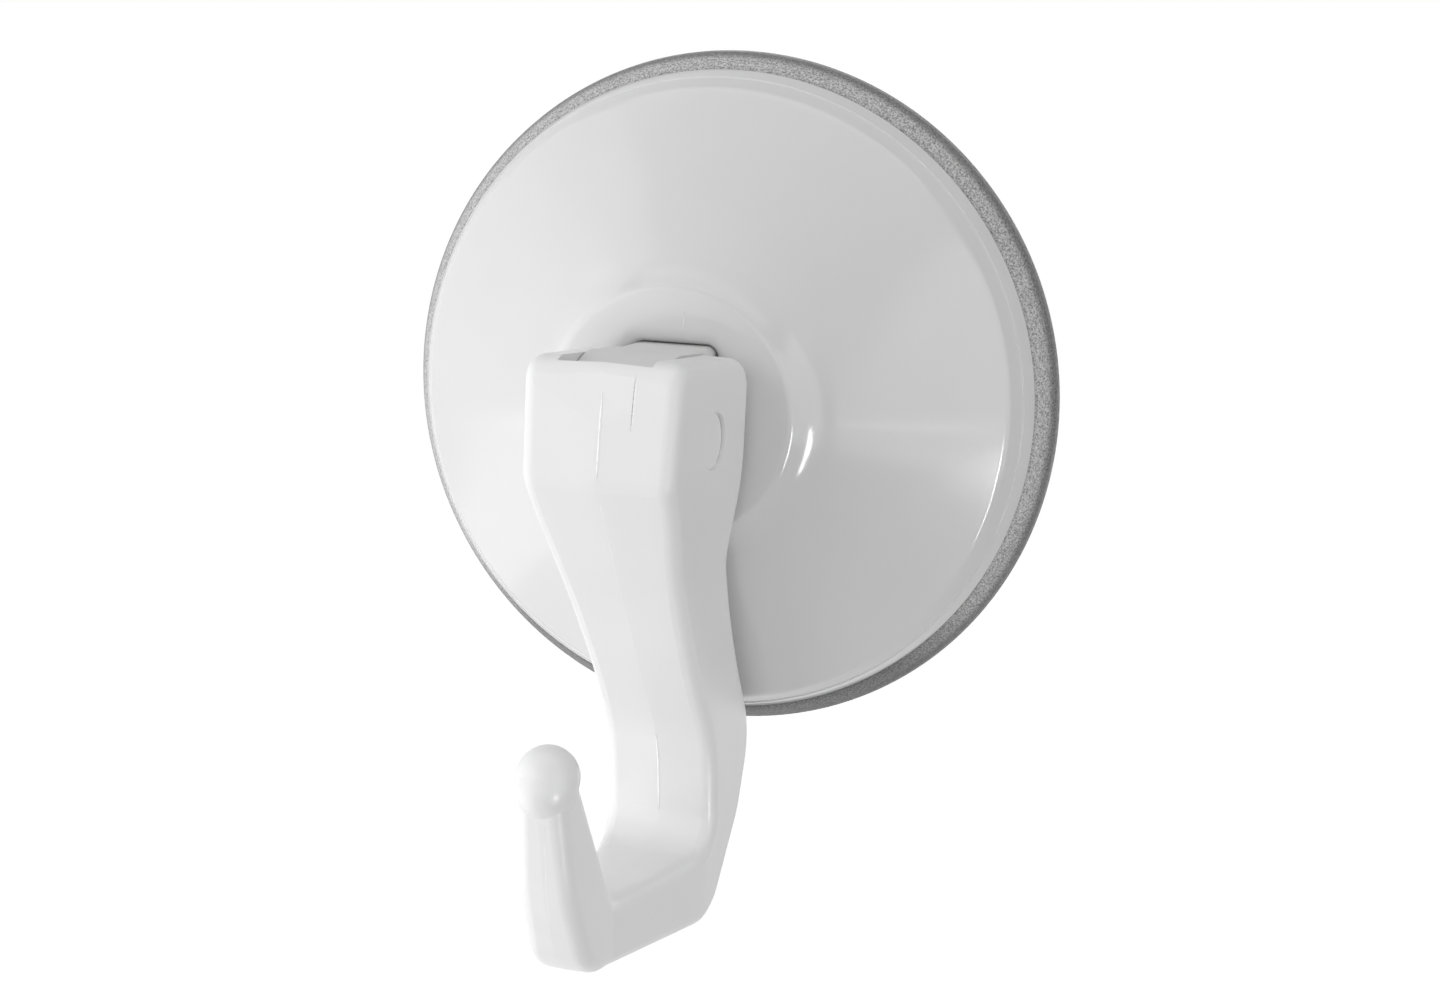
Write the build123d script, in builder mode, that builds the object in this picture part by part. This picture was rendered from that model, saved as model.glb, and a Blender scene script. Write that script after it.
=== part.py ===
"""Suction cup hook with a swinging lever, all sizes in millimetres.

Frame: the wall is the plane Y=0, the hook stands out along -Y, up is +Z.
The origin is the centre of the cup's lip, on the wall.
Side outlines are written as (out, up): distance out from the wall, height.
Turned outlines are written as (radius, out).
"""
from build123d import *
import math
import os

os.makedirs("parts", exist_ok=True)

# Soft cup and stiff cap
lip_radius = 32.35         # outer edge of the soft lip on the wall
lip_flat = 1.9             # width of the ring that lies on the wall
lip_edge = 0.35            # the lip's thin edge stands this far out
rim_radius = lip_radius - 1.75   # outer edge of the cap's rim
rim_out = 2.95             # the cap's rim rests on the cup this far out
rim_width = 2.0
skirt_radius = rim_radius - 1.8  # top of the narrow band round the rim
skirt_out = 6.2
skirt_round = 1.5
bead_radius = rim_radius - 0.85  # fine step round the rim
bead_out = 4.6
bead_step = 0.14
cone_radius = 15.0         # where the cone ends at the foot of the hub
cone_out = 13.58
cap_draft = -0.535         # slope of the cone there
hub_radius = 12.35         # the hub's edge, where it turns down to the cone
hub_out = 16.1             # flat top of the hub
hub_flat = 11.1            # the top is flat to here
hub_fall = 0.95            # the edge lies this far below the top
cap_wall = 1.9
hub_underside = 12.4
cup_pad_radius = 9.5       # thick centre of the cup
cup_pad_out = 8.6
cup_pad_thick = 3.0
hollow_radius = 0.68 * lip_radius    # the cup's hollow passes this point
hollow_out = 3.0

# Moving fit
gap = 0.3                  # between pieces that move past each other
slot_room = 0.4            # above and below the stem in the hub's slot
slot_corner = 1.0
pin_play = 0.05            # running fit of the pin in the stem
release_in = 0.8           # the stem goes in this far as the lever comes up

# Pin
pin_out = 24.7             # the lever swings about this line
pin_up = -0.6
pin_radius = 2.5
pin_half = 7.1
pin_chamfer = 0.15

# Stem
foot_radius = 8.8
foot_thick = 2.0
bar_half_x = 3.9
bar_half_z = 6.8           # half height of the bar, also the radius of its round end
bar_round = 0.8

# Lever
ear_back = hub_out + gap   # back of the ears, just off the hub
ear_slot = bar_half_x + gap
mould_draft = 1.8          # degrees, leaves a faint ridge down the middle
side_draft = 3.1           # degrees, the lever narrows toward the front
blank_half = 9.2
tip_root_up = -27.2        # the hook's leg ends here, inside the ball
tip_root_out = 38.0        # and lies farther out than this
# Side outline of the lever: (out, up, corner radius), no radius where it is 0.
outline = [
    (ear_back, 5.9, 3.1),
    (32.75, 6.9, 2.4),
    (33.75, -3.6, 2.5),
    (28.6, -12.1, 30.0),
    (16.6, -30.2, 14.0),
    (15.6, -40.4, 3.0),
    (33.4, -39.2, 2.2),
    (39.6, tip_root_up, 0),
    (44.2, tip_root_up, 0),
    (42.4, -36.5, 20.0),
    (38.8, -44.6, 6.0),
    (15.0, -47.8, 5.5),
    (8.5, -39.0, 8.0),
    (5.8, -31.2, 8.0),
    (ear_back, -12.0, 5.0),
]
# Half widths of the lever's front outline, measured on the wall plane.
head_top = 12.0
head_top_half = 8.9
head_half = head_top_half - 0.3
head_low = -2.5            # the head is straight down to here
flank_half = head_half - 0.6
flank_up = -8.2
waist_half = flank_half - 1.8
waist_up = -26.0
# Half widths of the hook seen from above, at these distances out.
bend_out = 17.2
bend_half = waist_half - 0.93
bend_up = -31.0            # the hook starts to narrow below this height
narrow_out = 29.0          # where that height starts to climb
shaving_half = 14.0
leg_out = 34.0
tip_limit = 46.0
low_level = -60.0          # widths at this height
low_leg_half = 3.5
low_tip_half = 3.45
high_level = -14.0         # and at this one
high_leg_half = 1.85
high_tip_half = 1.45
edge_round = 1.3           # along both sides of the lever
ridge_half = 1.2           # nothing this near the middle is rounded
tip_radius = 2.65          # two balls, one just below the other, make the tip
tip_out = 42.0
tip_up = -26.05
tip_slip_out = 0.3
tip_slip_up = -0.75
shave_edge = 2.95          # left of here the head's front is shaved back a little
shave_low = 0.3            # from this height
shave_low_out = 33.45
shave_top_out = 32.4
shave_top_up = 6.9
over = 60.0                # cutting blocks reach at least this far past the part

# Shallow dish in the hub, where the lever's ears roll
ear_roll = 0.4             # the ears' corners reach this much farther in than their backs
dish_depth = release_in + gap + ear_roll
dish_radius = 14.0
dish_half_x = head_half - ear_back * math.tan(math.radians(side_draft)) + gap
dish_round = edge_round + gap

side = Plane(origin=(0, 0, 0), x_dir=(0, -1, 0), z_dir=(-1, 0, 0))
turned = Plane(origin=(0, 0, 0), x_dir=(1, 0, 0), z_dir=(0, 0, -1))
front = Plane(origin=(0, 0, 0), x_dir=(1, 0, 0), z_dir=(0, -1, 0))

# Room that the ears roll through: its ends follow the ears' rounded edges.
with BuildPart() as ear_room:
    with Locations((0, -(hub_out - dish_depth + dish_radius), pin_up)):
        Cylinder(dish_radius, 2 * dish_half_x, rotation=(0, 90, 0))
    fillet(ear_room.edges().filter_by(GeomType.CIRCLE), dish_round)

# Pressure cap: a stiff cone with a thick hub.
with BuildPart() as pressure_cap:
    with BuildSketch(turned) as cap_section:
        with BuildLine():
            Polyline(
                (0, hub_underside),
                (0, hub_out),
                (hub_flat, hub_out),
            )
            Spline(
                (hub_flat, hub_out),
                (hub_radius, hub_out - hub_fall),
                (cone_radius, cone_out),
                tangents=((1, 0), (1, cap_draft)),
            )
            Polyline(
                (cone_radius, cone_out),
                (skirt_radius, skirt_out),
                (bead_radius, bead_out),
                (bead_radius + bead_step, bead_out),
                (rim_radius, rim_out),
                (rim_radius - rim_width, rim_out),
                (skirt_radius - cap_wall, skirt_out - 0.6 * cap_wall),
                (cone_radius - 1.0, hub_underside - 1.2),
                (cone_radius - 2.6, hub_underside),
                (0, hub_underside),
            )
        make_face()
        fillet(
            cap_section.vertices().sort_by(
                lambda v: math.hypot(v.X - skirt_radius, v.Y - skirt_out)
            )[0],
            skirt_round,
        )
    revolve(axis=Axis.Y)
    with BuildSketch(front):
        with Locations((0, pin_up)):
            RectangleRounded(
                2 * (bar_half_x + gap), 2 * (bar_half_z + slot_room), slot_corner
            )
    extrude(amount=over, mode=Mode.SUBTRACT)
    add(ear_room.part, mode=Mode.SUBTRACT)
pressure_cap.part.label = "pressure_cap"
export_step(pressure_cap.part, "parts/pressure_cap.step")

# Suction cup: soft, hollow toward the wall, thick in the middle.
with BuildPart() as suction_cup:
    with BuildSketch(turned):
        with BuildLine():
            Polyline(
                (0, cup_pad_out - cup_pad_thick),
                (0, cup_pad_out),
                (cup_pad_radius, cup_pad_out),
                (rim_radius - rim_width - 2.0, rim_out + 0.95),
                (rim_radius - rim_width - 1.0, rim_out),
                (rim_radius - 0.1, rim_out),
            )
            ThreePointArc(
                (rim_radius - 0.1, rim_out),
                (lip_radius - 0.55, rim_out - 1.35),
                (lip_radius, lip_edge),
            )
            Polyline(
                (lip_radius, lip_edge),
                (lip_radius - 0.15, 0),
                (lip_radius - lip_flat, 0),
            )
            ThreePointArc(
                (lip_radius - lip_flat, 0),
                (hollow_radius, hollow_out),
                (cup_pad_radius, cup_pad_out - cup_pad_thick),
            )
            Line(
                (cup_pad_radius, cup_pad_out - cup_pad_thick),
                (0, cup_pad_out - cup_pad_thick),
            )
        make_face()
    revolve(axis=Axis.Y)
suction_cup.part.label = "suction_cup"
export_step(suction_cup.part, "parts/suction_cup.step")

# Block that gives the head and shank their width: drafted toward the front.
with BuildPart() as width_block:
    with BuildSketch(front):
        with BuildLine():
            right = Line((head_top_half, head_top), (head_half, head_low))
            flank = TangentArc(right @ 1, (flank_half, flank_up), tangent=right % 1)
            waist = TangentArc(flank @ 1, (waist_half, waist_up), tangent=flank % 1)
            Polyline(
                waist @ 1,
                (waist_half, low_level),
                (0, low_level),
                (0, head_top),
                (head_top_half, head_top),
            )
        make_face()
        mirror(about=Plane.YZ)
    extrude(amount=over, taper=side_draft)

# What comes off the sides of the hook, so that it narrows to the tip.
with BuildPart() as side_shavings:
    with BuildSketch(side):
        Polygon(
            (bend_out, low_level),
            (bend_out, bend_up),
            (narrow_out, high_level),
            (over, high_level),
            (over, low_level),
            align=None,
        )
    extrude(amount=shaving_half, both=True)
    for level, at_leg, at_tip in (
        (low_level, low_leg_half, low_tip_half),
        (high_level, high_leg_half, high_tip_half),
    ):
        with BuildSketch(Plane.XY.offset(level)):
            Polygon(
                (-bend_half, -bend_out + 1),
                (-bend_half, -bend_out),
                (-at_leg, -leg_out),
                (-at_tip, -tip_limit),
                (at_tip, -tip_limit),
                (at_leg, -leg_out),
                (bend_half, -bend_out),
                (bend_half, -bend_out + 1),
                align=None,
            )
    loft(ruled=True, mode=Mode.SUBTRACT)

# Lever: head with two ears, shank, hook and ball tip.
with BuildPart() as hook_lever:
    with BuildSketch(side) as lever_side:
        Polygon(*[(out, up) for out, up, radius in outline], align=None)
        for out, up, radius in outline:
            if radius > 0:
                corners = lever_side.vertices().sort_by(
                    lambda v: math.hypot(v.X - out, v.Y - up)
                )
                fillet(corners[0], radius)
    extrude(amount=blank_half, taper=mould_draft)
    mirror(about=Plane.YZ)
    add(width_block.part, mode=Mode.INTERSECT)
    add(side_shavings.part, mode=Mode.SUBTRACT)
    # Every edge along the sides, but not round the tip or over the bend.
    long_edges = hook_lever.edges().filter_by(
        lambda e: abs(e.center().X) > ridge_half
        and abs((e % 0.5).X) < 0.7
        and not (e.center().Z > tip_root_up - 0.1 and e.center().Y < -tip_root_out)
        and abs(e.center().Y + bend_out) > 0.05
    )
    fillet(long_edges, edge_round)
    with Locations(
        (0, -tip_out, tip_up),
        (0, -(tip_out + tip_slip_out), tip_up + tip_slip_up),
    ):
        Sphere(tip_radius)
    with BuildSketch(side):
        with Locations((pin_out, pin_up)):
            Circle(bar_half_z + gap)
        Polygon(
            (0, pin_up - bar_half_z - gap),
            (pin_out, pin_up - bar_half_z - gap),
            (pin_out, pin_up),
            (pin_out + bar_half_z + gap, pin_up),
            (pin_out + bar_half_z + gap, over),
            (0, over),
            align=None,
        )
    extrude(amount=ear_slot, both=True, mode=Mode.SUBTRACT)
    with BuildSketch(side.offset(-shave_edge)):
        Polygon(
            (shave_low_out, shave_low),
            (shave_top_out, shave_top_up),
            (shave_top_out, over),
            (over, over),
            (over, shave_low),
            align=None,
        )
    extrude(amount=over, mode=Mode.SUBTRACT)
    with Locations((0, -pin_out, pin_up)):
        Cylinder(pin_radius, over, rotation=(0, 90, 0), mode=Mode.SUBTRACT)
hook_lever.part.label = "hook_lever"
export_step(hook_lever.part, "parts/hook_lever.step")

# Stem: a bar with a round end, on a foot bonded to the middle of the cup.
with BuildPart() as stem:
    with BuildSketch(side):
        with Locations(((cup_pad_out + foot_thick / 2 + pin_out) / 2, pin_up)):
            Rectangle(pin_out - cup_pad_out - foot_thick / 2, 2 * bar_half_z)
        with Locations((pin_out, pin_up)):
            Circle(bar_half_z)
    extrude(amount=bar_half_x, both=True)
    fillet(
        stem.edges().filter_by(lambda e: abs(abs(e.center().X) - bar_half_x) < 0.01),
        bar_round,
    )
    with Locations((0, -(cup_pad_out + foot_thick / 2), 0)):
        Cylinder(foot_radius, foot_thick, rotation=(90, 0, 0))
    with Locations((0, -pin_out, pin_up)):
        Cylinder(pin_radius + pin_play, over, rotation=(0, 90, 0), mode=Mode.SUBTRACT)
stem.part.label = "stem"
export_step(stem.part, "parts/stem.step")

# Pin through the ears and the stem, ends a little below the ears' faces.
with BuildPart() as pivot_pin:
    with Locations((0, -pin_out, pin_up)):
        Cylinder(pin_radius, 2 * pin_half, rotation=(0, 90, 0))
    chamfer(pivot_pin.edges().filter_by(GeomType.CIRCLE), pin_chamfer)
pivot_pin.part.label = "pivot_pin"
export_step(pivot_pin.part, "parts/pivot_pin.step")
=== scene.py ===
"""Looks of the suction cup hook, in metres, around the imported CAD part.

The part hangs on a wall that isn't drawn: the wall is the plane Y=0, the hook stands out along -Y, up is +Z.
Turned outlines are written as (radius, out, rounding) in millimetres, out from the wall.
"""

import math
import random

import bmesh
import bpy
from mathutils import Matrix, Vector
from mathutils.bvhtree import BVHTree


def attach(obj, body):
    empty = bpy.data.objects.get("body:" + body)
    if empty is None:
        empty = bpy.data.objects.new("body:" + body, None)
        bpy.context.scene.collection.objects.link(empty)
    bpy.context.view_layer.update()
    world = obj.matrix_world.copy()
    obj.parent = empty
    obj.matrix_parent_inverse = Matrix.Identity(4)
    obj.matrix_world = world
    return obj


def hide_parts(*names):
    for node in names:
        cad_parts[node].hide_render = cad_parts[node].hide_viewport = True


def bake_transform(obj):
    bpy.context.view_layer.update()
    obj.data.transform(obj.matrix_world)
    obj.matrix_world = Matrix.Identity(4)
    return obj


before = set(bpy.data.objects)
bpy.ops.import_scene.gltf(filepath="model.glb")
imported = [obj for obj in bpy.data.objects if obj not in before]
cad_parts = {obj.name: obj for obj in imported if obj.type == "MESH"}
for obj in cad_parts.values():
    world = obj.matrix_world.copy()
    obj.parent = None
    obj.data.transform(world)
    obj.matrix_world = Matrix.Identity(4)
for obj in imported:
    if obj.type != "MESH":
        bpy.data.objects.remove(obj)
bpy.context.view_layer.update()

# Camera: the photograph's own viewpoint, solved from the rim's and the lip's ellipses.
CAMERA_AT = (0.06306, -0.18793, 0.02839)
CAMERA_TURN = (78.96, -1.89, 18.95)     # degrees
LENS = 51.42                            # mm on a 36 mm wide sensor
FLOOR_DROP = 0.9                        # the floor lies this far below the part
FLOOR_SIZE = 8.0
FLOOR_GLOW = 0.9                        # what camera and gloss see on top of the floor's own tone
WHITE = (1.0, 1.0, 1.0, 1.0)
ROOM_LIGHT = 0.15                       # the room's own light on the object, where 1 is white
MIDDLE = Vector((0.0, -0.01, 0.0))
MM = 0.001
TURN = 2.0 * math.pi

# Sizes in mm, as in the CAD source.
LIP_RADIUS = 32.35
RIM_RADIUS = 30.6
HUB_OUT = 16.1
PIN_OUT = 24.7
PIN_UP = -0.6
SLOT_CORNER = 1.0

# Sizes in mm that are the scene's own. The slot is closer to the stem than in the CAD, with a rounded edge.
SLOT_HALF_X = 3.98
SLOT_HALF_Z = 6.85
SLOT_FLARE = 1.6                        # radius of the slot's rounded edge
SLOT_DEEP = 10.0                        # the slot's cutter starts this far out from the wall
CROWN_RADIUS = 7.08                     # the lever's fork has 7.15 about the pin
CROWN_HALF_X = 4.05                     # the lever's fork has 4.25
PIN_LIT_RADIUS = 2.15
PIN_SHADE_RADIUS = 2.36
HUB_SEAM_X = 1.15


def node_material(name):
    """A new material with its nodes cleared down to a Principled shader and an output."""
    material = bpy.data.materials.new(name)
    material.use_nodes = True
    tree = material.node_tree
    shader = tree.nodes["Principled BSDF"]
    return material, tree, shader


def noise(tree, scale, detail=2.0, roughness=0.5):
    """Noise over the object's own coordinates, in features per metre."""
    place = tree.nodes.new("ShaderNodeTexCoord")
    texture = tree.nodes.new("ShaderNodeTexNoise")
    texture.inputs["Scale"].default_value = scale
    texture.inputs["Detail"].default_value = detail
    texture.inputs["Roughness"].default_value = roughness
    tree.links.new(place.outputs["Object"], texture.inputs["Vector"])
    return texture.outputs["Fac"]


def spread(tree, value, low, high, start=0.3, end=0.7):
    """value, from start to end, spread over low to high."""
    ranged = tree.nodes.new("ShaderNodeMapRange")
    ranged.inputs["From Min"].default_value = start
    ranged.inputs["From Max"].default_value = end
    ranged.inputs["To Min"].default_value = low
    ranged.inputs["To Max"].default_value = high
    tree.links.new(value, ranged.inputs["Value"])
    return ranged.outputs["Result"]


def combine(tree, operation, first, second):
    """first and second, each a socket or a number, put together by a Math node."""
    node = tree.nodes.new("ShaderNodeMath")
    node.operation = operation
    for socket, value in zip(node.inputs, (first, second)):
        if isinstance(value, float):
            socket.default_value = value
        else:
            tree.links.new(value, socket)
    return node.outputs["Value"]


def bump(tree, height, distance, strength=1.0, under=None):
    node = tree.nodes.new("ShaderNodeBump")
    node.inputs["Strength"].default_value = strength
    node.inputs["Distance"].default_value = distance
    tree.links.new(height, node.inputs["Height"])
    if under is not None:
        tree.links.new(under, node.inputs["Normal"])
    return node.outputs["Normal"]


def plastic(name, colour, shade, rough, rough_spread, ripple=None):
    """Moulded plastic: slightly uneven colour and gloss, and where ripple is given, in metres, a faint ripple."""
    material, tree, shader = node_material(name)
    tone = spread(tree, noise(tree, 90.0), colour * (1.0 - shade), colour * (1.0 + shade))
    tree.links.new(tone, shader.inputs["Base Color"])
    gloss = spread(tree, noise(tree, 260.0, 3.0), rough - rough_spread, rough + rough_spread)
    tree.links.new(gloss, shader.inputs["Roughness"])
    if ripple is not None:
        tree.links.new(bump(tree, noise(tree, 160.0, 0.0), ripple), shader.inputs["Normal"])
    return material


def radius_and_height(tree):
    """Distance from the cup's axis and height above it, in millimetres."""
    place = tree.nodes.new("ShaderNodeTexCoord")
    apart = tree.nodes.new("ShaderNodeSeparateXYZ")
    tree.links.new(place.outputs["Object"], apart.inputs["Vector"])
    squares = [combine(tree, "MULTIPLY", apart.outputs[a], apart.outputs[a]) for a in ("X", "Z")]
    root = combine(tree, "SQRT", combine(tree, "ADD", *squares), 0.0)
    return [combine(tree, "MULTIPLY", length, 1.0 / MM) for length in (root, apart.outputs["Z"])]


def frosted_rubber(name):
    """Soft grey rubber: a frosted, speckled lip, with painted shade toward its thin outer edge and at the bottom."""
    material, tree, shader = node_material(name)
    # Painted shade: the tone across the lip falls to dark at its outer edge, where the lip turns away from the
    # light.
    across = tree.nodes.new("ShaderNodeValToRGB")
    radius, height = radius_and_height(tree)
    stops = ((0.0, 0.28), (0.3, 0.4), (0.62, 0.38), (0.8, 0.16), (1.0, 0.08))
    ramp = across.color_ramp
    while len(ramp.elements) < len(stops):
        ramp.elements.new(0.5)
    for element, (place, tone) in zip(ramp.elements, stops):
        element.position = place
        element.color = (tone, tone, tone, 1.0)
    tree.links.new(spread(tree, radius, 0.0, 1.0, RIM_RADIUS - 0.3, LIP_RADIUS), across.inputs["Fac"])
    speckle = spread(tree, noise(tree, 5500.0, 2.0, 0.7), 0.45, 1.6, 0.35, 0.65)
    # Painted shade: outside the rim, the lip's colour falls to 0.35 toward the bottom, from 17 to 25 mm below the
    # axis.
    inside = spread(tree, radius, 1.0, 0.0, RIM_RADIUS - 0.4, RIM_RADIUS - 0.1)
    low = combine(tree, "MAXIMUM", inside, spread(tree, height, 0.35, 1.0, -25.0, -17.0))
    tone = combine(tree, "MULTIPLY", combine(tree, "MULTIPLY", across.outputs["Color"], speckle), low)
    tree.links.new(tone, shader.inputs["Base Color"])
    tree.links.new(spread(tree, noise(tree, 3000.0), 0.3, 0.5), shader.inputs["Roughness"])
    frost = bump(tree, noise(tree, 6500.0, 2.0, 0.7), 0.00004, 0.8)
    tree.links.new(frost, shader.inputs["Normal"])
    return material


cap_plastic = plastic("cap_plastic", 0.68, 0.01, 0.13, 0.02, 0.00002)
lever_plastic = plastic("lever_plastic", 0.842, 0.01, 0.32, 0.03)
# Near-white plastic, a painted highlight on the fine lines drawn on the lever.
painted_highlight_plastic = plastic("painted_highlight_plastic", 0.98, 0.01, 0.15, 0.05)
# Dark plastic, painted shade on the fine lines drawn on the lever.
painted_shade_plastic = plastic("painted_shade_plastic", 0.38, 0.02, 0.6, 0.05)
stem_plastic = plastic("stem_plastic", 0.7, 0.02, 0.5, 0.05)
pin_plastic = plastic("pin_plastic", 0.86, 0.01, 0.34, 0.05)
cup_rubber = frosted_rubber("cup_rubber")


def dress(node, material):
    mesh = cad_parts[node].data
    mesh.materials.clear()
    mesh.materials.append(material)


dress("pressure_cap", cap_plastic)
dress("hook_lever", lever_plastic)
dress("stem", stem_plastic)
dress("pivot_pin", pin_plastic)
dress("suction_cup", cup_rubber)


def rounded(corners, steps=8):
    """The line through (radius, out, rounding) corners, each corner with a rounding turned by an arc."""
    points = []
    for i, (radius, out, rounding) in enumerate(corners):
        here = Vector((radius, out))
        if not rounding:
            points.append(here)
            continue
        back = (Vector(corners[i - 1][:2]) - here).normalized()
        ahead = (Vector(corners[i + 1][:2]) - here).normalized()
        half = back.angle(ahead) / 2.0
        centre = here + (back + ahead).normalized() * rounding / math.sin(half)
        reach = rounding / math.tan(half)
        first = here + back * reach - centre
        last = here + ahead * reach - centre
        start = math.atan2(first.y, first.x)
        sweep = math.remainder(math.atan2(last.y, last.x) - start, TURN)
        for k in range(steps + 1):
            angle = start + sweep * k / steps
            points.append(centre + rounding * Vector((math.cos(angle), math.sin(angle))))
    return points


def glide(start, lean, end, end_lean, steps=10):
    """A smooth curve between two (radius, out) points with a slope at each, its ends left out."""
    a, b = Vector(start), Vector(end)
    pull = b.x - a.x
    u, v = Vector((1.0, lean)) * pull, Vector((1.0, end_lean)) * pull
    points = []
    for k in range(1, steps):
        t = k / steps
        points.append(
            (2 * t**3 - 3 * t**2 + 1) * a
            + (t**3 - 2 * t**2 + t) * u
            + (3 * t**2 - 2 * t**3) * b
            + (t**3 - t**2) * v
        )
    return points


def finish_mesh(name, mesh, material, sharp=30.0):
    mesh.validate()
    mesh.materials.clear()
    mesh.materials.append(material)
    mesh.shade_smooth()
    mesh.set_sharp_from_angle(angle=math.radians(sharp))
    piece = bpy.data.objects.new(name, mesh)
    bpy.context.scene.collection.objects.link(piece)
    return piece


def lathe(name, outline, sides=256):
    """A mesh turned about the Y axis from (radius, out) points that start and end on the axis."""
    verts = []
    rings = []
    for radius, out in outline:
        around = range(sides) if radius > 1e-6 else range(1)
        rings.append([len(verts) + k for k in around])
        for k in around:
            angle = TURN * k / sides
            verts.append((radius * MM * math.cos(angle), -out * MM, radius * MM * math.sin(angle)))
    faces = []
    for low, high in zip(rings, rings[1:]):
        for k in range(sides):
            n = (k + 1) % sides
            corners = [low[k % len(low)], low[n % len(low)], high[n % len(high)], high[k % len(high)]]
            faces.append(list(dict.fromkeys(corners)))
    mesh = bpy.data.meshes.new(name)
    mesh.from_pydata(verts, [], faces)
    outward(mesh)
    return mesh


def outward(mesh):
    """Turns every face of a closed mesh outward."""
    shell = bmesh.new()
    shell.from_mesh(mesh)
    bmesh.ops.recalc_face_normals(shell, faces=shell.faces)
    shell.to_mesh(mesh)
    shell.free()


def loft(name, rings):
    """A closed mesh through rings with equally many points, flat at both ends."""
    count = len(rings[0])
    total = count * len(rings)
    faces = [list(range(count)), list(range(total - 1, total - count - 1, -1))]
    for start in range(0, total - count, count):
        for k in range(count):
            a, b = start + k, start + (k + 1) % count
            faces.append([b, a, a + count, b + count])
    mesh = bpy.data.meshes.new(name)
    mesh.from_pydata([corner for ring in rings for corner in ring], [], faces)
    outward(mesh)
    return mesh


def cut(mesh, cutter):
    """mesh with the cutter mesh taken out of it."""
    body = bpy.data.objects.new("body", mesh)
    tool = bpy.data.objects.new("tool", cutter)
    for thing in (body, tool):
        bpy.context.scene.collection.objects.link(thing)
    step = body.modifiers.new("cut", "BOOLEAN")
    step.operation = "DIFFERENCE"
    step.solver = "EXACT"
    step.object = tool
    bpy.context.view_layer.update()
    result = bpy.data.meshes.new_from_object(body.evaluated_get(bpy.context.evaluated_depsgraph_get()))
    for thing in (body, tool):
        bpy.data.objects.remove(thing)
    return result


# The cup, turned from its outline, from the middle out to the lip.
cup_outline = rounded(
    (
        (0.0, 5.6, 0),
        (9.5, 5.6, 2.0),
        (16.0, 4.75, 9.0),
        (24.0, 2.35, 9.0),
        (30.45, 0.0, 0),
        (LIP_RADIUS - 0.15, 0.0, 0),
        (LIP_RADIUS, 0.35, 0),
        (LIP_RADIUS - 0.2, 1.1, 0),
        (LIP_RADIUS - 0.62, 1.75, 0),
        (LIP_RADIUS - 1.2, 2.4, 0),
        (RIM_RADIUS - 0.1, 2.95, 0),
        (RIM_RADIUS - 3.0, 2.95, 0),
        (RIM_RADIUS - 4.0, 3.9, 0),
        (9.5, 8.6, 0),
        (0.0, 8.6, 0),
    )
)
cup_mesh = lathe("cup", cup_outline)
cup = finish_mesh("cup", cup_mesh, cup_rubber, 50.0)
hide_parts("suction_cup")
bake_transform(cup)

# The cap, with the hub's top plain where the CAD part has room for the ears to roll.
cap_outline = (
    rounded(((0.0, 12.4, 0), (12.4, 12.4, 0), (14.0, 11.2, 1.0), (26.9, 5.06, 0), (28.6, 2.95, 0)))
    + rounded(
        (
            (28.6, 2.95, 0),
            (RIM_RADIUS, 2.95, 0.12),
            (RIM_RADIUS - 0.71, 4.6, 0.05),
            (RIM_RADIUS - 0.85, 4.6, 0.05),
            (28.8, 6.2, 1.5),
            (15.0, 13.58, 0),
        )
    )[1:]
    + glide((15.0, 13.58), -0.535, (12.35, 15.15), -0.88)
    + [Vector((12.35, 15.15))]
    + glide((12.35, 15.15), -0.88, (11.1, HUB_OUT), 0.0)
    + rounded(((11.1, HUB_OUT, 0), (0.0, HUB_OUT, 0)))
)


def slot_ring(grow, out):
    """The slot's outline, grown by grow mm all round, at a height out of the wall."""
    ring = []
    for side_x, side_z, first in ((1, 1, 0.0), (-1, 1, 90.0), (-1, -1, 180.0), (1, -1, 270.0)):
        for k in range(7):
            angle = math.radians(first + 15.0 * k)
            x = side_x * (SLOT_HALF_X - SLOT_CORNER) + (SLOT_CORNER + grow) * math.cos(angle)
            z = PIN_UP + side_z * (SLOT_HALF_Z - SLOT_CORNER) + (SLOT_CORNER + grow) * math.sin(angle)
            ring.append((x * MM, -out * MM, z * MM))
    return ring


# The slot's edge is rounded toward the hub's top, ending just short of level with it.
flare = [
    (SLOT_FLARE * (1.0 - math.sin(a)), HUB_OUT - SLOT_FLARE * (1.0 - math.cos(a)))
    for a in (math.radians(90.0 - 8.2 * k) for k in range(11))
]
slot_rings = [slot_ring(0.0, SLOT_DEEP)]
slot_rings += [slot_ring(grow, out) for grow, out in flare]
slot_rings += [slot_ring(flare[-1][0] + 1.5, HUB_OUT + 0.2)]
slot_mesh = loft("slot", slot_rings)
cap = finish_mesh("cap", cut(lathe("cap", cap_outline), slot_mesh), cap_plastic, 24.0)
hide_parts("pressure_cap")
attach(cap, "cap")


def ridge(name, hits, thick, rise, material, body, seed=3):
    """A fine raised line through points on a surface, thick either side and about rise high, slightly uneven."""
    rng = random.Random(seed)
    verts = []
    faces = []
    for i, (point, normal) in enumerate(hits):
        ahead = hits[min(i + 1, len(hits) - 1)][0] - hits[max(i - 1, 0)][0]
        side = normal.cross(ahead).normalized()
        fade = (0.6 + 0.8 * rng.random()) * min(1.0, (i + 0.5) / 6.0, (len(hits) - 0.5 - i) / 6.0)
        for across, lift in ((-1.0, -0.3), (-0.3, 0.6), (0.4, 1.0), (0.7, 0.8), (1.0, -0.3)):
            verts.append(point + side * thick * fade * across + normal * rise * lift)
        if i:
            for k in range(4):
                a = 5 * (i - 1) + k
                faces.append((a, a + 1, a + 6, a + 5))
    mesh = bpy.data.meshes.new(name)
    mesh.from_pydata(verts, [], faces)
    piece = finish_mesh(name, mesh, material, 80.0)
    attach(piece, body)
    return piece


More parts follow.
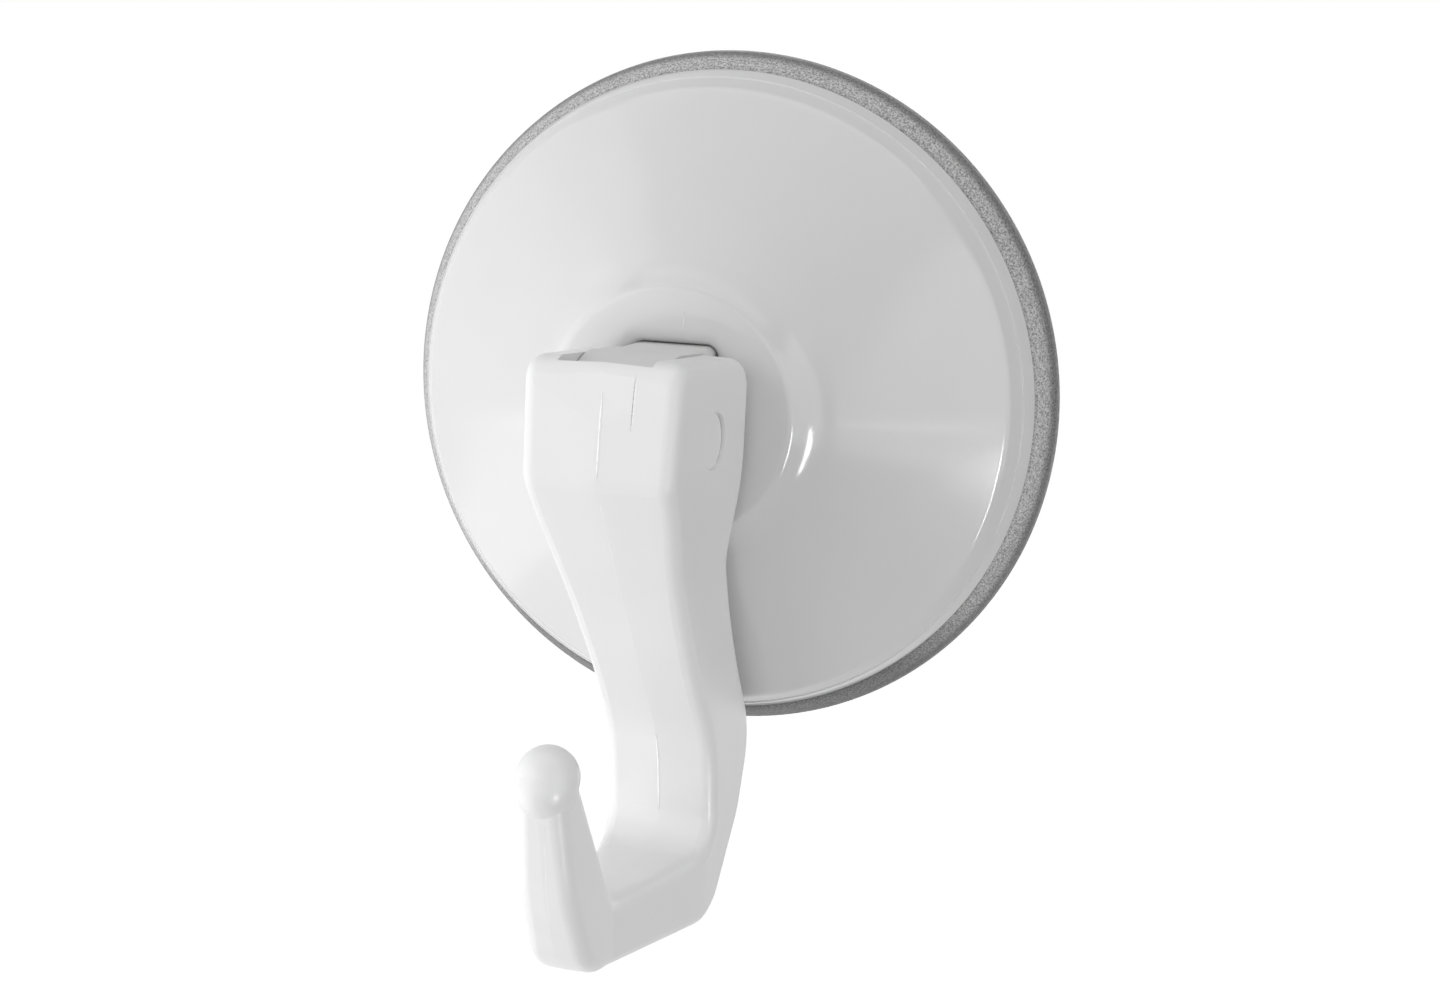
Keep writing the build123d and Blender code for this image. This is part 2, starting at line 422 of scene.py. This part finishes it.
def hits_on(obj, starts, toward):
    """Where rays from the start points meet the object, as (point, normal)."""
    surface = BVHTree.FromObject(obj, bpy.context.evaluated_depsgraph_get())
    found = [surface.ray_cast(Vector(s), Vector(toward)) for s in starts]
    return [(f[0], f[1]) for f in found if f[0] is not None]


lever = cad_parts["hook_lever"]
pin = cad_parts["pivot_pin"]
bpy.context.view_layer.update()


def front_line(first, last, step, across, across_end, start=-0.06):
    """Points down the lever's front from height first to last, in mm, moving across from one X to another.

    start is where the rays begin, in metres along Y. Low down it lies behind the leg, so that the shank is met.
    """
    count = int((first - last) / step)
    starts = []
    for k in range(count):
        x = across + (across_end - across) * k / count
        starts.append((x * MM, start, (first - step * k) * MM))
    return hits_on(lever, starts, (0.0, 1.0, 0.0))


# The moulding seam down the lever's front, plain at the head and low on the shank, faint between and on the leg,
# drawn near-white as a painted highlight along the raised line.
ridge("seam_head", front_line(4.0, -3.3, 0.15, 0.3, 0.25), 0.00009, 0.00006, painted_highlight_plastic, "lever")
ridge("seam_shank", front_line(-3.3, -23.0, 0.4, 0.25, 0.0), 0.00003, 0.00001, painted_highlight_plastic, "lever", 4)
ridge("seam_low", front_line(-29.5, -37.5, 0.15, 0.0, 0.0, -0.028), 0.00009, 0.00006, painted_highlight_plastic, "lever", 5)
ridge("seam_leg", front_line(-29.5, -41.0, 0.4, 0.5, 0.1), 0.00003, 0.00001, painted_highlight_plastic, "lever", 6)
# The shaved face's edge beside it: a thin strip of painted shade, with a strip of painted highlight at its right.
ridge("shave_painted_shade", front_line(5.7, 0.8, 0.15, 3.1, 2.95), 0.00004, 0.00001, painted_shade_plastic, "lever", 7)
ridge("shave_lit", front_line(5.4, 0.8, 0.15, 3.24, 3.05), 0.00005, 0.00002, painted_highlight_plastic, "lever", 8)

# The round step that the pin's end leaves in the right ear, drawn as a strip of painted highlight on its lit side
# and one of painted shade on its shaded side.
pin_arc = [math.radians(55.0 - 5.0 * k) for k in range(23)]
for name, radius, material, thick in (
    ("pin_lit", PIN_LIT_RADIUS, painted_highlight_plastic, 0.00008),
    ("pin_shade", PIN_SHADE_RADIUS, painted_shade_plastic, 0.00005),
):
    starts = [
        (0.02, (-PIN_OUT + radius * math.cos(a)) * MM, (PIN_UP + radius * math.sin(a)) * MM) for a in pin_arc
    ]
    ridge(name, hits_on(pin, starts, (-1.0, 0.0, 0.0)), thick, 0.00004, material, "lever", 9)

# The stem's round end fills the fork's open corner as far as the raised lever leaves room, as in the photo, where no
# pocket shows between the ears.
crown = []
for k in range(25):
    angle = math.radians(5.0 + 85.0 * k / 24)
    crown.append((PIN_OUT + CROWN_RADIUS * math.cos(angle), PIN_UP + CROWN_RADIUS * math.sin(angle)))
crown += [(19.0, 6.1), (19.0, 5.0), (PIN_OUT, 5.0), (29.0, 1.0)]
crown_sides = [
    [(x * MM, -out * MM, up * MM) for out, up in crown] for x in (-CROWN_HALF_X, CROWN_HALF_X)
]
crown_mesh = loft("stem_crown", crown_sides)
crown_piece = finish_mesh("stem_crown", crown_mesh, stem_plastic)
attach(crown_piece, "stem")

# The short seam above the slot on the hub.
hub_line = [(HUB_SEAM_X * MM, -0.06, (9.3 - 0.1 * k) * MM) for k in range(22)]
ridge("hub_seam", hits_on(cap, hub_line, (0.0, 1.0, 0.0)), 0.00006, 0.00004, cap_plastic, "cap", 5)

# Floor, well below the part. Camera and gloss see it white, and a shadow on it still shows.
bpy.ops.mesh.primitive_plane_add(size=FLOOR_SIZE, location=(0.0, 0.0, -FLOOR_DROP))
floor = bpy.context.object
floor.name = "floor"
floor_paint, floor_tree, floor_shader = node_material("floor_paint")
floor_shader.inputs["Base Color"].default_value = (0.8, 0.8, 0.8, 1.0)
floor_shader.inputs["Roughness"].default_value = 0.9
floor.data.materials.append(floor_paint)
glow = floor_tree.nodes.new("ShaderNodeEmission")
glow.inputs["Color"].default_value = WHITE
glow.inputs["Strength"].default_value = FLOOR_GLOW
lifted = floor_tree.nodes.new("ShaderNodeAddShader")
floor_tree.links.new(floor_shader.outputs["BSDF"], lifted.inputs[0])
floor_tree.links.new(glow.outputs["Emission"], lifted.inputs[1])


def seen_directly(tree):
    """1 where a ray comes from the camera or from gloss or glass, 0 where it only lights."""
    path = tree.nodes.new("ShaderNodeLightPath")
    rays = [path.outputs[n] for n in ("Is Camera Ray", "Is Glossy Ray", "Is Transmission Ray")]
    total = rays[0]
    for ray in rays[1:]:
        total = combine(tree, "MAXIMUM", total, ray)
    return total


def shown_or_lit(tree, shown, lit, output):
    """shown for rays that see the surface directly, lit for those that gather its light."""
    choice = tree.nodes.new("ShaderNodeMixShader")
    tree.links.new(seen_directly(tree), choice.inputs["Fac"])
    tree.links.new(lit, choice.inputs[1])
    tree.links.new(shown, choice.inputs[2])
    tree.links.new(choice.outputs["Shader"], output)


shown_or_lit(
    floor_tree,
    lifted.outputs["Shader"],
    floor_shader.outputs["BSDF"],
    floor_tree.nodes["Material Output"].inputs["Surface"],
)

# World: a soft grey room for the object, plain white for the camera.
world = bpy.data.worlds.new("room")
bpy.context.scene.world = world
world.use_nodes = True
room = world.node_tree
room.nodes.clear()
output = room.nodes.new("ShaderNodeOutputWorld")
seen = room.nodes.new("ShaderNodeBackground")
seen.inputs["Color"].default_value = WHITE
seen.inputs["Strength"].default_value = 1.0
lit = room.nodes.new("ShaderNodeBackground")
lit.inputs["Color"].default_value = WHITE
lit.inputs["Strength"].default_value = ROOM_LIGHT
shown_or_lit(room, seen.outputs["Background"], lit.outputs["Background"], output.inputs["Surface"])


def soft_box(name, toward, distance, width, height, glow):
    """A rectangular lamp in a direction from the part's middle, facing it. A glow of 1 looks white in gloss."""
    lamp = bpy.data.lights.new(name, "AREA")
    lamp.shape = "RECTANGLE"
    lamp.size = width
    lamp.size_y = height
    lamp.energy = glow * math.pi * width * height
    holder = bpy.data.objects.new(name, lamp)
    bpy.context.scene.collection.objects.link(holder)
    away = Vector(toward).normalized()
    holder.location = MIDDLE + distance * away
    holder.rotation_euler = (-away).to_track_quat("-Z", "Y").to_euler()
    return holder


# name, toward, distance, width, height, glow
for lamp in (
    ("key_left", (-0.92, -0.38, 0.05), 0.7, 1.3, 1.3, 0.88),
    ("key_front", (-0.62, -0.78, 0.1), 0.9, 0.8, 1.0, 0.66),
    ("key_core", (-0.90, -0.43, 0.12), 0.7, 0.55, 0.6, 0.31),
    ("key_high", (-0.75, -0.45, 0.45), 0.7, 0.4, 0.4, 0.085),
    ("top_left", (-0.6, -0.5, 0.62), 0.8, 0.9, 0.7, 0.07),
    ("fill_front", (0.2, -1.0, 0.1), 1.2, 0.8, 0.8, 0.95),
    ("fill_right", (0.9, -0.4, 0.1), 0.8, 0.8, 0.8, 1.38),
    ("low_left", (-0.7, -0.4, -0.6), 0.8, 0.7, 0.7, 1.17),
    ("overhead", (0.0, -0.15, 1.0), 0.8, 1.2, 0.6, 0.9),
    ("behind", (0.1, 1.0, 0.15), 0.9, 0.9, 0.9, 0.8),
):
    soft_box(*lamp)
# Narrow strips for the bright strokes at the hub's foot and the faint one on the cone, seen by gloss alone.
for lamp in (
    ("strip_right", (0.76, -0.52, -0.38), 0.7, 0.04, 0.26, 30.0),
    ("strip_near", (0.735, -0.58, -0.33), 0.7, 0.02, 0.12, 30.0),
    ("strip_cone", (0.69, -0.70, -0.16), 0.9, 0.12, 0.02, 3.5),
):
    soft_box(*lamp).visible_diffuse = False

# Camera
lens = bpy.data.cameras.new("camera")
lens.lens = LENS
lens.sensor_width = 36.0
lens.clip_start = 0.01
camera = bpy.data.objects.new("camera", lens)
bpy.context.scene.collection.objects.link(camera)
camera.location = CAMERA_AT
camera.rotation_euler = [math.radians(a) for a in CAMERA_TURN]
bpy.context.scene.camera = camera
bpy.context.scene.view_settings.view_transform = "Standard"
